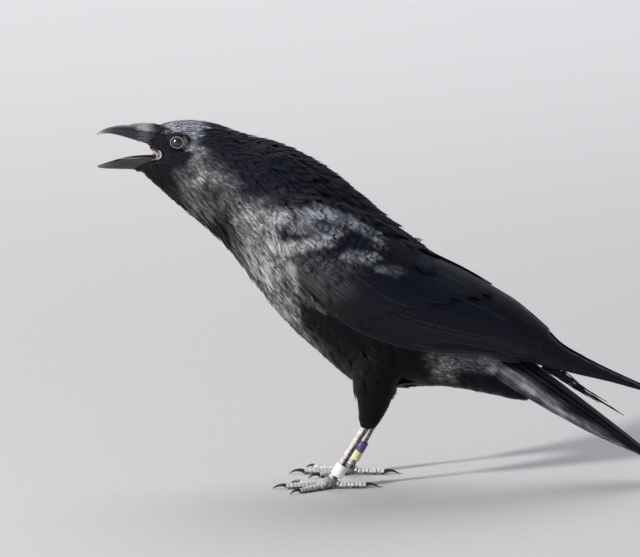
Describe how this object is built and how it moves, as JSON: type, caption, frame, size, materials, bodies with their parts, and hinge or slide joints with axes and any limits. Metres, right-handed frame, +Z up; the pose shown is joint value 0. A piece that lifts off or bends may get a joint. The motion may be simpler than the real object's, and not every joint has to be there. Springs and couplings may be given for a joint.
{
  "type": "american crow",
  "caption": "Life-size standing American crow leaning forward with its bill open, wings folded, with plain bands on both legs.",
  "frame": {"origin": "on the floor, under the middle of the bird's length and width", "axes": "+Z up from the floor, the bill towards -X, the tail towards +X and the bird's left side towards -Y"},
  "size_m": [0.4203, 0.1034, 0.2791],
  "materials": {
    "plumage": "soft black feathers with a faint blue sheen",
    "wing_feathers": "smooth black flight feathers with a blue sheen",
    "bill_horn": "black horn, slightly glossy",
    "mouth_skin": "moist dark pink skin",
    "eye": "very dark brown, wet gloss",
    "leg_skin": "dark grey scaled skin",
    "claw_horn": "black horn",
    "band_metal": "plain satin aluminium",
    "band_yellow": "plain yellow-green plastic",
    "band_purple": "plain purple plastic"
  },
  "bodies": {
    "root": {"head": "plumage", "neck": "plumage", "trunk": "plumage", "left_thigh": "plumage", "right_thigh": "plumage", "left_wing_coverts": "wing_feathers", "left_wing_secondaries": "wing_feathers", "left_wing_primaries": "wing_feathers", "right_wing_coverts": "wing_feathers", "right_wing_secondaries": "wing_feathers", "right_wing_primaries": "wing_feathers", "tail": "wing_feathers", "upper_bill": "bill_horn", "lower_bill": "bill_horn", "tongue": "mouth_skin", "left_eye": "eye", "right_eye": "eye", "left_shank": "leg_skin", "right_shank": "leg_skin", "left_foot": "leg_skin", "right_foot": "leg_skin", "left_inner_claw": "claw_horn", "left_middle_claw": "claw_horn", "left_outer_claw": "claw_horn", "left_hind_claw": "claw_horn", "right_inner_claw": "claw_horn", "right_middle_claw": "claw_horn", "right_outer_claw": "claw_horn", "right_hind_claw": "claw_horn", "left_leg_band": "band_metal", "right_leg_band_yellow": "band_yellow", "right_leg_band_purple": "band_purple"}
  },
  "joints": []
}
